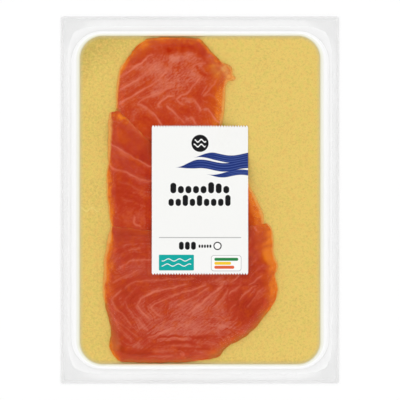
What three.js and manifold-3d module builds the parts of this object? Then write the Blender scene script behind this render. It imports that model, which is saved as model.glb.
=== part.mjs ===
// A flat vacuum pack of smoked salmon trout. Three overlapping slices lie on a gold card board
// with rounded corners, sealed in clear film that has a flat seal band all round, and a paper
// label with pinked ends lies over the middle.
// Millimetres. The pack lies face up: +X is its right, +Y its top edge and +Z up. The origin
// is the middle of its underside.

import * as THREE from 'three';
import { mergeVertices } from 'three/addons/utils/BufferGeometryUtils.js';
import Module from 'manifold-3d';

const wasm = await Module();
wasm.setup();

// Driving dimensions
const PACK = { width: 175, length: 231, film: 0.4 };
const RING = { width: 162, length: 213, corner: 19.5 };
const BOARD = { width: 151.5, length: 207, corner: 14.5, thickness: 0.6 };
const SLICE = { thickness: 4.8, rim: 1.3, shoulder: 7, relief: 0.25 };
const TUCK = { length: 32, share: 0.4 };
const LABEL = { width: 60.5, length: 94.2, thickness: 0.3, teeth: 35, toothDepth: 1.25 };
const GAP = 0.3;

// How far a slice that lies over another reaches out before it touches the one below it,
// and how widely the label bridges the steps under it. The covered end of a slice is cut thin,
// down to a share of its thickness over the tuck's length. So is the upper edge of a slice that
// lies over another, over the veil's reach, and there it lies close on the slice below.
const DRAPE = { outside: 8, inside: 3, labelReach: 6, labelBlur: 5 };
const VEIL = { reach: 16, share: 0.3 };

const MESH = { across: 18, along: 24, side: 20, corner: 7, labelAcross: 12, labelAlong: 18 };

const BOARD_TOP = PACK.film + GAP + BOARD.thickness;
const BED = BOARD_TOP + GAP;

// Each slice has four sides, each a smooth curve through a few points. Left and right run
// from its lower end to its upper end, and lower and upper run from left to right.
const SLICES = [
  {
    name: 'slice_upper',
    left: [[-38, 16], [-49, 31], [-52.5, 44], [-53, 59], [-52.3, 72], [-50.5, 82], [-46, 89.5],
      [-40, 97], [-35.5, 100.4]],
    right: [[-3, 16], [6.5, 28], [13.8, 48], [15.6, 60], [16, 69], [16.6, 73.3], [18.2, 75],
      [21.4, 75.6], [22.3, 77.2], [20.4, 79.4], [20.1, 83], [18.6, 85], [14.2, 87], [11.8, 89.2],
      [8.6, 92], [5.6, 95.4], [1.9, 100.4]],
    lower: [[-38, 16], [-20, 12], [-3, 16]],
    upper: [[-35.5, 100.4], [-31.5, 101.9], [-17, 102.5], [-2.5, 101.9], [1.9, 100.4]],
  },
  {
    name: 'slice_middle',
    left: [[-46.5, -41], [-52, -34.5], [-55, -25], [-56.4, -16.5], [-58.6, 2.5], [-58.7, 15.8],
      [-57.8, 23], [-58.2, 28], [-57.8, 36.5], [-57.6, 49], [-56.9, 54.8]],
    right: [[25, -39], [34, -31], [39, -22], [40.2, -12.6], [37.6, -4], [32.6, 6.5], [27, 17],
      [20, 28]],
    lower: [[-46.5, -41], [-20, -44], [5, -44], [25, -39]],
    upper: [[-56.9, 54.8], [-51, 55.4], [-46.6, 51.7], [-36.5, 41.6], [-28, 35], [-8, 31],
      [20, 28]],
  },
  {
    name: 'slice_lower',
    left: [[-51.8, -101], [-55.8, -95.8], [-57.3, -90], [-56.1, -83], [-58.2, -73], [-60.5, -62],
      [-61, -50.4], [-59.5, -31.5], [-56.4, -16.4]],
    right: [[-5, -101.6], [10, -99.4], [17.8, -92.2], [25.6, -88], [34.7, -80.6], [46.2, -65.5],
      [49.2, -57], [47.6, -48], [49.2, -41], [46.2, -33.5], [46.3, -24], [44.6, -17.5],
      [41.6, -14.4]],
    lower: [[-51.8, -101], [-44, -102.4], [-15, -102.4], [-5, -101.6]],
    upper: [[-56.4, -16.4], [-31, -19], [0, -20], [30, -17], [41.6, -14.4]],
  },
];

const FINISH = {
  film: { color: 0xf3f4f3, roughness: 0.2, metalness: 0 },
  board: { color: 0xe6c66c, roughness: 0.45, metalness: 0.35 },
  slice: { color: 0xc64b2e, roughness: 0.35, metalness: 0 },
  label: { color: 0xf7f7f5, roughness: 0.6, metalness: 0 },
};

// Solids

function toSolid(geometry) {
  const plain = geometry.clone();
  plain.deleteAttribute('normal');
  plain.deleteAttribute('uv');
  const merged = mergeVertices(plain);
  return new wasm.Manifold(new wasm.Mesh({
    numProp: 3,
    vertProperties: new Float32Array(merged.attributes.position.array),
    triVerts: new Uint32Array(merged.index.array),
  }));
}

function toGeometry(solid) {
  const mesh = solid.getMesh();
  return makeGeometry(Array.from(mesh.vertProperties), Array.from(mesh.triVerts));
}

function makeGeometry(positions, triangles) {
  const geometry = new THREE.BufferGeometry();
  geometry.setAttribute('position', new THREE.Float32BufferAttribute(positions, 3));
  geometry.setIndex(triangles);
  geometry.computeVertexNormals();
  return geometry;
}

function makePiece(name, geometry, finish) {
  const piece = new THREE.Mesh(geometry, new THREE.MeshStandardMaterial(finish));
  piece.name = name;
  return piece;
}

// Outlines

function vectors(points) {
  return points.map(([x, y]) => new THREE.Vector2(x, y));
}

function roundedRectangle(width, length, corner) {
  const points = [];
  const centres = [[1, -1], [1, 1], [-1, 1], [-1, -1]];
  centres.forEach(([sideX, sideY], quarter) => {
    for (let step = 0; step < MESH.corner; step += 1) {
      const angle = (quarter - 1 + step / (MESH.corner - 1)) * (Math.PI / 2);
      points.push(new THREE.Vector2(
        sideX * (width / 2 - corner) + corner * Math.cos(angle),
        sideY * (length / 2 - corner) + corner * Math.sin(angle),
      ));
    }
  });
  return points;
}

function sideCurves(slice) {
  const curve = (side) => new THREE.SplineCurve(vectors(slice[side]));
  return { left: curve('left'), right: curve('right'), lower: curve('lower'), upper: curve('upper') };
}

// The slice's edge as one closed loop, counter-clockwise
function sliceOutline(sides) {
  const steps = Array.from({ length: MESH.side }, (_, step) => step / MESH.side);
  return [
    ...steps.map((t) => sides.lower.getPointAt(t)),
    ...steps.map((t) => sides.right.getPointAt(t)),
    ...steps.map((t) => sides.upper.getPointAt(1 - t)),
    ...steps.map((t) => sides.left.getPointAt(1 - t)),
  ];
}

// A point of the slice at u across and v along, spread evenly between its four sides
function pointInside(sides, u, v) {
  const lower = sides.lower.getPointAt(u);
  const upper = sides.upper.getPointAt(u);
  const left = sides.left.getPointAt(v);
  const right = sides.right.getPointAt(v);
  const cornersBelow = sides.lower.getPointAt(0).lerp(sides.lower.getPointAt(1), u);
  const cornersAbove = sides.upper.getPointAt(0).lerp(sides.upper.getPointAt(1), u);
  return lower.lerp(upper, v).add(left.lerp(right, u)).sub(cornersBelow.lerp(cornersAbove, v));
}

function distanceToSegment(point, from, to) {
  const along = to.clone().sub(from);
  const share = point.clone().sub(from).dot(along) / along.lengthSq();
  const nearest = along.multiplyScalar(THREE.MathUtils.clamp(share, 0, 1)).add(from);
  return nearest.distanceTo(point);
}

// Distance from a point to an outline, positive inside it and negative outside
function depthInside(outline, point) {
  let nearest = Infinity;
  let inside = false;
  outline.forEach((from, index) => {
    const to = outline[(index + 1) % outline.length];
    nearest = Math.min(nearest, distanceToSegment(point, from, to));
    if (from.y > point.y !== to.y > point.y) {
      const crossing = from.x + ((point.y - from.y) / (to.y - from.y)) * (to.x - from.x);
      if (point.x < crossing) inside = !inside;
    }
  });
  return inside ? nearest : -nearest;
}

// Heights of the pile

// The slice's full thickness, away from its edge
function fullThickness(slice, point) {
  if (!slice.covered) return SLICE.thickness;
  const end = slice.lower[0][1];
  const share = THREE.MathUtils.smoothstep(point.y, end, end + TUCK.length);
  return SLICE.thickness * THREE.MathUtils.lerp(TUCK.share, 1, share);
}

// 0 on the upper edge of a slice that lies over another, and 1 beyond the veil's reach
function pastVeil(slice, point) {
  if (!slice.below) return 1;
  const gaps = slice.upperEdge.slice(1)
    .map((to, index) => distanceToSegment(point, slice.upperEdge[index], to));
  return THREE.MathUtils.smoothstep(Math.min(...gaps), 0, VEIL.reach);
}

function sliceThickness(slice, point) {
  const depth = Math.max(depthInside(slice.outline, point), 0);
  const rise = Math.sin((Math.min(depth / SLICE.shoulder, 1) * Math.PI) / 2);
  const relief = SLICE.relief * Math.sin(point.x / 7 + point.y / 19) * Math.cos(point.y / 11);
  const whole = SLICE.rim + (fullThickness(slice, point) - SLICE.rim + relief) * rise;
  return whole * THREE.MathUtils.lerp(VEIL.share, 1, pastVeil(slice, point));
}

function liftOver(slice, point) {
  const depth = depthInside(slice.outline, point);
  const share = THREE.MathUtils.smoothstep(depth, -DRAPE.outside, DRAPE.inside);
  return (fullThickness(slice, point) + GAP) * share;
}

function sliceFoot(slice, point) {
  if (!slice.below) return BED;
  const overBelow = depthInside(slice.below.outline, point) >= 0;
  const close = overBelow ? sliceTop(slice.below, point) + GAP : BED;
  return THREE.MathUtils.lerp(close, BED + liftOver(slice.below, point), pastVeil(slice, point));
}

function sliceTop(slice, point) {
  return sliceFoot(slice, point) + sliceThickness(slice, point);
}

function pileTop(point) {
  const covering = SLICES.filter((slice) => depthInside(slice.outline, point) >= 0);
  return Math.max(BED, ...covering.map((slice) => sliceTop(slice, point)));
}

function ringOfPoints(centre, radius) {
  const ring = [centre.clone()];
  const steps = 8;
  for (let step = 0; step < steps; step += 1) {
    const angle = (step / steps) * Math.PI * 2;
    ring.push(new THREE.Vector2(Math.cos(angle), Math.sin(angle)).multiplyScalar(radius).add(centre));
  }
  return ring;
}

// The label lies on taut film, so it bridges hollows and takes steps as a long slope
function labelUnderside(point) {
  const highest = (centre) => {
    const near = ringOfPoints(centre, DRAPE.labelReach / 2);
    const far = ringOfPoints(centre, DRAPE.labelReach);
    return Math.max(...near.map(pileTop), ...far.map(pileTop));
  };
  const around = ringOfPoints(point, DRAPE.labelBlur).map(highest);
  return around.reduce((sum, height) => sum + height, 0) / around.length + GAP;
}

// Meshes made of rows and columns

// Parts from 0 to 1 that lie close together near both ends
function crowdedEnds(count) {
  return Array.from({ length: count + 1 }, (_, index) => (1 - Math.cos((index / count) * Math.PI)) / 2);
}

function evenParts(count) {
  return Array.from({ length: count + 1 }, (_, index) => index / count);
}

// The edge of a grid of columns + 1 by rows + 1 points, counter-clockwise
function gridEdge(columns, rows) {
  const wide = columns + 1;
  const loop = [];
  for (let column = 0; column < columns; column += 1) loop.push(column);
  for (let row = 0; row < rows; row += 1) loop.push(row * wide + columns);
  for (let column = columns; column > 0; column -= 1) loop.push(rows * wide + column);
  for (let row = rows; row > 0; row -= 1) loop.push(row * wide);
  return loop;
}

function gridTriangles(columns, rows) {
  const wide = columns + 1;
  const triangles = [];
  for (let row = 0; row < rows; row += 1) {
    for (let column = 0; column < columns; column += 1) {
      const corner = row * wide + column;
      triangles.push(corner, corner + 1, corner + wide + 1);
      triangles.push(corner, corner + wide + 1, corner + wide);
    }
  }
  return triangles;
}

function wallTriangles(topLoop, bottomLoop) {
  return topLoop.flatMap((top, index) => {
    const next = (index + 1) % topLoop.length;
    return [
      bottomLoop[index], bottomLoop[next], topLoop[next],
      bottomLoop[index], topLoop[next], top,
    ];
  });
}

// A slice with its top as a grid, an upright edge and a flat underside
function sliceGeometry(slice) {
  const columns = crowdedEnds(MESH.across);
  const rows = crowdedEnds(MESH.along);
  const points = rows.flatMap((v) => columns.map((u) => pointInside(slice.sides, u, v)));
  const edge = gridEdge(MESH.across, MESH.along);
  const positions = points.flatMap((point) => [point.x, point.y, sliceTop(slice, point)]);
  positions.push(...edge.flatMap((index) => [points[index].x, points[index].y, BED]));
  const bottomLoop = edge.map((_, index) => points.length + index);
  const underside = THREE.ShapeUtils.triangulateShape(edge.map((index) => points[index]), [])
    .flatMap(([a, b, c]) => [bottomLoop[a], bottomLoop[c], bottomLoop[b]]);
  return makeGeometry(positions, [
    ...gridTriangles(MESH.across, MESH.along),
    ...wallTriangles(edge, bottomLoop),
    ...underside,
  ]);
}

// The same slice swollen by the gap, which cuts its own place into the slice that covers it
function clearanceCutter(geometry) {
  const cutter = geometry.clone();
  cutter.computeBoundingBox();
  const middle = cutter.boundingBox.getCenter(new THREE.Vector3());
  const size = cutter.boundingBox.getSize(new THREE.Vector3());
  const positions = cutter.attributes.position;
  for (let index = 0; index < positions.count; index += 1) {
    const x = middle.x + (positions.getX(index) - middle.x) * (1 + (2 * GAP) / size.x);
    const y = middle.y + (positions.getY(index) - middle.y) * (1 + (2 * GAP) / size.y);
    const onBed = positions.getZ(index) === Math.fround(BED);
    positions.setXYZ(index, x, y, positions.getZ(index) + (onBed ? -GAP : GAP));
  }
  return cutter;
}

function slicePieces() {
  let cutter = null;
  return SLICES.map((slice) => {
    const whole = sliceGeometry(slice);
    const geometry = cutter ? toGeometry(toSolid(whole).subtract(toSolid(cutter))) : whole;
    cutter = clearanceCutter(whole);
    return makePiece(slice.name, geometry, FINISH.slice);
  });
}

// Label

function labelSheet() {
  const columns = evenParts(MESH.labelAcross);
  const rows = evenParts(MESH.labelAlong);
  const points = rows.flatMap((v) => columns.map((u) => new THREE.Vector2(
    (u - 0.5) * LABEL.width,
    (v - 0.5) * LABEL.length,
  )));
  const heights = points.map(labelUnderside);
  const layer = (rise) => points.flatMap((point, index) => [point.x, point.y, heights[index] + rise]);
  const top = gridTriangles(MESH.labelAcross, MESH.labelAlong);
  const edge = gridEdge(MESH.labelAcross, MESH.labelAlong);
  const underside = [];
  for (let index = 0; index < top.length; index += 3) {
    underside.push(...[top[index], top[index + 2], top[index + 1]].map((corner) => corner + points.length));
  }
  const walls = wallTriangles(edge, edge.map((index) => index + points.length));
  return makeGeometry([...layer(LABEL.thickness), ...layer(0)], [...top, ...underside, ...walls]);
}

// A comb of teeth that cuts the pinked end; side is 1 at the label's top and -1 at its foot
function pinkingCutter(side) {
  const pitch = LABEL.width / LABEL.teeth;
  const tip = LABEL.length / 2;
  const margin = 2;
  const depth = 40;
  const comb = new THREE.Shape();
  comb.moveTo(-LABEL.width / 2 - pitch, side * (tip + margin));
  for (let tooth = -1; tooth <= LABEL.teeth; tooth += 1) {
    const left = -LABEL.width / 2 + tooth * pitch;
    comb.lineTo(left, side * (tip - LABEL.toothDepth));
    comb.lineTo(left + pitch / 2, side * tip);
  }
  comb.lineTo(LABEL.width / 2 + pitch, side * (tip + margin));
  const geometry = new THREE.ExtrudeGeometry(comb, { depth, bevelEnabled: false });
  return geometry.translate(0, 0, -depth / 2);
}

function labelPiece() {
  const pinked = toSolid(labelSheet())
    .subtract(toSolid(pinkingCutter(1)))
    .subtract(toSolid(pinkingCutter(-1)));
  return makePiece('label', toGeometry(pinked), FINISH.label);
}

// Board and film

function boardPiece() {
  const outline = new THREE.Shape(roundedRectangle(BOARD.width, BOARD.length, BOARD.corner));
  const geometry = new THREE.ExtrudeGeometry(outline, { depth: BOARD.thickness, bevelEnabled: false });
  const board = makePiece('board', geometry, FINISH.board);
  board.position.z = PACK.film + GAP;
  return board;
}

function rectangle(width, length) {
  const corners = [[-1, -1], [1, -1], [1, 1], [-1, 1]];
  return corners.map(([x, y]) => new THREE.Vector2((x * width) / 2, (y * length) / 2));
}

// The back sheet with its seal band. Round the board it rises to the board's top edge, so the
// board lies in a shallow tray.
function filmPiece() {
  const sheet = rectangle(PACK.width, PACK.length);
  const foot = roundedRectangle(RING.width, RING.length, RING.corner);
  const lip = roundedRectangle(BOARD.width + 2 * GAP, BOARD.length + 2 * GAP, BOARD.corner + GAP);
  const levels = [[sheet, 0], [sheet, PACK.film], [foot, PACK.film], [lip, BOARD_TOP], [lip, PACK.film]];
  const positions = levels.flatMap(([loop, height]) => loop.flatMap((point) => [point.x, point.y, height]));
  let start = 0;
  const [below, rim, ringFoot, ringLip, tray] = levels.map(([loop]) => {
    const corners = loop.map((_, index) => start + index);
    start += loop.length;
    return corners;
  });
  const fill = (outline, holes, corners) => THREE.ShapeUtils.triangulateShape(outline, holes)
    .flatMap((triangle) => triangle.map((corner) => corners[corner]));
  const triangles = [
    ...fill(sheet, [], below).reverse(),
    ...wallTriangles(rim, below),
    ...fill(sheet, [[...foot].reverse()], [...rim, ...[...ringFoot].reverse()]),
    ...wallTriangles(ringLip, ringFoot),
    ...wallTriangles(tray, ringLip),
    ...fill(lip, [], tray),
  ];
  return makePiece('film', makeGeometry(positions, triangles), FINISH.film);
}

SLICES.forEach((slice, index) => {
  slice.sides = sideCurves(slice);
  slice.outline = sliceOutline(slice.sides);
  slice.upperEdge = slice.sides.upper.getSpacedPoints(MESH.side);
  slice.below = SLICES[index - 1];
  slice.covered = index < SLICES.length - 1;
});

const pack = new THREE.Group();
pack.add(filmPiece(), boardPiece(), ...slicePieces(), labelPiece());

export default pack;
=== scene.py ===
# The looks of a flat vacuum pack of smoked salmon trout that lies face up: three overlapping
# slices on a gold card board, in clear film with a flat seal band, under a pinked paper label.
# Shapes are worked out in millimetres, as in the solids, and turned into metres when a mesh is
# made. +X is the pack's right, +Y its top edge and +Z up.

from functools import partialmethod
import math

import bpy
import numpy as np
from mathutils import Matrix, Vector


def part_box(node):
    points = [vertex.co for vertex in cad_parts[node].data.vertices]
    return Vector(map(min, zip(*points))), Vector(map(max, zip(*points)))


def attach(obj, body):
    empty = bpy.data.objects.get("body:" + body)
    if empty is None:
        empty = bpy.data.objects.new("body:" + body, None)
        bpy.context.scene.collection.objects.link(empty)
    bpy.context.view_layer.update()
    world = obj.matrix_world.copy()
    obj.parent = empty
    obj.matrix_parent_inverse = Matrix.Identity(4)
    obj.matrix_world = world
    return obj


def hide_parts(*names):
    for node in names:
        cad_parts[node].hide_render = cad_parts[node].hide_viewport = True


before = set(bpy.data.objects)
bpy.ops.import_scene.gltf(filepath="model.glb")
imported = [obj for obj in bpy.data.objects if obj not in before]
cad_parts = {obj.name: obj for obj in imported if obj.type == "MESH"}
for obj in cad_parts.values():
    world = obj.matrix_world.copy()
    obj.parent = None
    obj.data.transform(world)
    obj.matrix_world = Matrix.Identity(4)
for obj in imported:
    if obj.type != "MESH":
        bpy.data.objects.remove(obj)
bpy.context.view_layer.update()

MM = 0.001


def box_mm(node):
    """A solid's lowest corner, highest corner and size, in millimetres."""
    low, high = (np.array(corner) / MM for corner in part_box(node))
    return low, high, high - low


# Driving sizes, in millimetres

_, _, PACK = box_mm("film")
BOARD_LOW, BOARD_HIGH, BOARD = box_mm("board")
_, _, LABEL = box_mm("label")
SEAL_TOP = 0.4
RING = {"width": 162, "length": 213, "corner": 19.5}
BOARD_CORNER = 14.5
PACK_CORNER = 0.8
GAP = 0.3
FISH_CLEARANCE = 0.05
BED = BOARD_HIGH[2] + FISH_CLEARANCE
SLICE = {"thickness": 4.8, "rim": 1.3, "edge": 0.25, "shoulder": 7, "relief": 0.25}
TUCK = {"length": 32, "share": 0.4}
DRAPE = {"outside": 8, "inside": 3}
VEIL = {"reach": 16, "share": 0.3, "gap": 0.06}
WEB = {"slope": 0.55, "reach": 4, "blur": 0.7, "clearance": 0.12, "inset": 0.3}
LABEL_DRAPE = {"reach": 6, "blur": 5, "over_web": 0.06, "web_below": 0.05}
TEETH = {"count": 35, "depth": 1.25}
PAPER = 0.18
PRINT_EDGE = 0.12

# Each slice's four sides as in its solid. Left and right run from its lower end to its upper
# end, and lower and upper run from left to right.
SLICES = {
    "slice_upper": {
        "left": [(-38, 16), (-49, 31), (-52.5, 44), (-53, 59), (-52.3, 72), (-50.5, 82),
            (-46, 89.5), (-40, 97), (-35.5, 100.4)],
        "right": [(-3, 16), (6.5, 28), (13.8, 48), (15.6, 60), (16, 69), (16.6, 73.3), (18.2, 75),
            (21.4, 75.6), (22.3, 77.2), (20.4, 79.4), (20.1, 83), (18.6, 85), (14.2, 87),
            (11.8, 89.2), (8.6, 92), (5.6, 95.4), (1.9, 100.4)],
        "lower": [(-38, 16), (-20, 12), (-3, 16)],
        "upper": [(-35.5, 100.4), (-31.5, 101.9), (-17, 102.5), (-2.5, 101.9), (1.9, 100.4)],
    },
    "slice_middle": {
        "left": [(-46.5, -41), (-52, -34.5), (-55, -25), (-56.4, -16.5), (-58.6, 2.5),
            (-58.7, 15.8), (-57.8, 23), (-58.2, 28), (-57.8, 36.5), (-57.6, 49), (-56.9, 54.8)],
        "right": [(25, -39), (34, -31), (39, -22), (40.2, -12.6), (37.6, -4), (32.6, 6.5),
            (27, 17), (20, 28)],
        "lower": [(-46.5, -41), (-20, -44), (5, -44), (25, -39)],
        "upper": [(-56.9, 54.8), (-51, 55.4), (-46.6, 51.7), (-36.5, 41.6), (-28, 35), (-8, 31),
            (20, 28)],
    },
    "slice_lower": {
        "left": [(-51.8, -101), (-55.8, -95.8), (-57.3, -90), (-56.1, -83), (-58.2, -73),
            (-60.5, -62), (-61, -50.4), (-59.5, -31.5), (-56.4, -16.4)],
        "right": [(-5, -101.6), (10, -99.4), (17.8, -92.2), (25.6, -88), (34.7, -80.6),
            (46.2, -65.5), (49.2, -57), (47.6, -48), (49.2, -41), (46.2, -33.5), (46.3, -24),
            (44.6, -17.5), (41.6, -14.4)],
        "lower": [(-51.8, -101), (-44, -102.4), (-15, -102.4), (-5, -101.6)],
        "upper": [(-56.4, -16.4), (-31, -19), (0, -20), (30, -17), (41.6, -14.4)],
    },
}

# Lines of fat between the flesh's bands: the band's number, the line's strength, how much
# paler the flesh is on its right-hand side, and a few points, from left to right
FAT_LINES = {
    "slice_upper": [
        (0, 1, 0, [(-51, 77), (-45, 80.5), (-38, 85.5), (-33, 90), (-30, 91)]),
        (1, 1, 0.3, [(-50.5, 69), (-39, 76), (-33, 81), (-27, 86.5)]),
        (2, 1, 0.3, [(-50.5, 60.5), (-37.5, 68.5), (-31.5, 71.5), (-27, 75), (-21, 80.5)]),
        (3, 0.8, 0, [(-39, 60), (-36.5, 62.5), (-31.5, 65), (-24.5, 68), (-17, 72)]),
        (3, 1, 0.7, [(-39, 60), (-35.5, 59), (-29, 54), (-24, 47.5)]),
        (4, 1, 0, [(-26.5, 60.2), (-22.7, 63.3), (-19.5, 64.9), (-16.4, 65.5)]),
        (4, 0.9, 0.2, [(-26.5, 60.2), (-25.5, 58)]),
        (4.5, 1, 0.7, [(-20.8, 59.2), (-10, 48.5)]),
        (5, 1, 0, [(-15.4, 63.6), (-12.6, 64.9), (-6.3, 69.3), (0, 76.5)]),
        (5, 0.9, 0.2, [(-15.4, 63.6), (-13.2, 61.1), (-10.1, 59.9)]),
        (5.5, 0.6, 0, [(-10.7, 63.6), (-7, 63.8), (-4.4, 63.6)]),
        (5.5, 1, 0.4, [(-4.4, 63.6), (-3.2, 62.4), (0.6, 56.1)]),
        (6, 0.6, 0, [(0.6, 66.2), (3.2, 69.3), (4.4, 71.8)]),
        (6.3, 0.7, 0, [(1.9, 65.5), (5.7, 68.7), (8, 71.5), (10.7, 75.6)]),
        (6.3, 0.5, 0, [(1.9, 65.5), (6.3, 66.2), (10.7, 63)]),
        (6.5, 1, 0.5, [(5, 57), (8.8, 52.3), (12.6, 48)]),
        (5.8, 0.9, 0.4, [(-5.7, 51.7), (-2.5, 48)]),
        (2.5, 0.5, 0, [(-9, 82), (-2.5, 85), (3.5, 86)]),
    ],
    "slice_middle": [
        (1, 0.6, 1, [(-56.5, 35), (-50.5, 31.9), (-45.2, 28.5), (-33.2, 21.9), (-30, 20.4)]),
        (2, 0.55, 1, [(-57.3, 22.7), (-54.7, 20), (-50, 18.7), (-45.2, 17.1), (-39.5, 14.3),
            (-35.8, 12.7), (-30, 12)]),
        (3, 0.3, 0.6, [(-51, 11.2), (-47, 10.8), (-44.7, 9.6), (-39.5, 7), (-30.5, 4)]),
        (4, 0.25, 0.3, [(-48, -0.2), (-42.5, -0.9)]),
    ],
    "slice_lower": [
        (0, 0.6, 0.2, [(-50.4, -42), (-45.2, -39.4), (-42, -37.8), (-36.7, -37.5), (-29, -37.5)]),
        (1, 0.5, 0.2, [(-54.5, -52), (-49.5, -48.9), (-42.6, -45.8), (-37, -43.9)]),
        (1.5, 0.6, 0, [(-47, -55.5), (-43.9, -52.7), (-41.4, -51.4), (-30, -50.5), (-5, -49.5)]),
        (2, 0.7, 0, [(-55.5, -62.7), (-52.7, -58.9), (-49.5, -56.4)]),
        (2, 0.6, 0.6, [(-55.5, -62.7), (-54.5, -65.2), (-51.4, -69), (-47.7, -72.7),
            (-43.9, -78.4)]),
        (3, 0.3, 0, [(-47.5, -63), (-45, -60), (-42, -57)]),
        (3, 0.3, 0.4, [(-47.5, -63), (-43.9, -69), (-37, -77.5), (-33, -82)]),
        (4, 0.8, -0.2, [(-39.8, -65.8), (-37, -62.4), (-34.5, -60.5), (-30.7, -58.6),
            (-26.3, -57.1), (-8.8, -53)]),
        (4, 0.8, 0.7, [(-39.8, -65.8), (-38.6, -67.7), (-32.6, -74)]),
        (5, 0.8, -0.2, [(-31.4, -67.4), (-28.2, -65.2), (-25.1, -64), (-15, -59.6), (-5, -56.7),
            (3.8, -53.6)]),
        (5, 0.7, 0.6, [(-31.4, -67.4), (-25.1, -72.7)]),
        (6, 0.7, 0.5, [(-15, -66.5), (-8.2, -62.7), (-2.5, -59.9), (5.6, -55.2)]),
        (7, 0.8, 0.8, [(-6.9, -71.5), (-5, -69.3), (-1.9, -66.5), (14.4, -53.9)]),
        (8, 0.6, 0.6, [(8.2, -67.7), (13.2, -62.7), (17.6, -56.7)]),
        (8.5, 0.6, 0, [(18.2, -59.3), (20.1, -57.7), (22.6, -56.4), (25.7, -53)]),
        (8.5, 0.3, 0, [(18.2, -70.2), (19.8, -67.7), (22.6, -65.8)]),
        (9, 0.5, 0.6, [(25.1, -62.7), (26.3, -60.8), (28.8, -58.3), (35.1, -53.6)]),
        (10, 0.45, 0.5, [(29.5, -67.1), (33.9, -61.4), (35.7, -58.3), (39.5, -55.2)]),
        (10, 0.6, 0, [(30.7, -53), (33.9, -51.4), (35.4, -49.5), (38.9, -47.3)]),
        (9, 0.8, 0, [(21.3, -50.5), (25.1, -47.3)]),
        (8, 0.6, 0, [(10, -50.8), (12.5, -48.3)]),
        (1.2, 0.45, 0, [(-52, -75.8), (-45, -81.5), (-39, -86)]),
        (0.6, 0.4, 0, [(-58.5, -68.5), (-54.5, -73.5), (-50, -80.5), (-43, -88)]),
        (10.5, 0.5, 0, [(-32.5, -86.5), (-25, -83.5), (-16.5, -80.5)]),
        (11, 0.5, 0, [(-25, -87.2), (-16, -87), (-8, -87.4)]),
        (11.4, 0.4, 0, [(-6, -84.4), (2, -84), (9, -84.6)]),
        (12, 0.45, 0, [(-21, -91.5), (-12, -91.3), (-5, -92)]),
        (12.5, 0.4, 0, [(-2, -90), (5, -90.3), (10, -91)]),
        (13, 0.45, 0, [(-29, -94.7), (-18, -94.4)]),
        (14, 0.45, 0, [(-32, -98.4), (-18, -98.2)]),
    ],
}
LINE_WIDTH = 0.52

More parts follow.
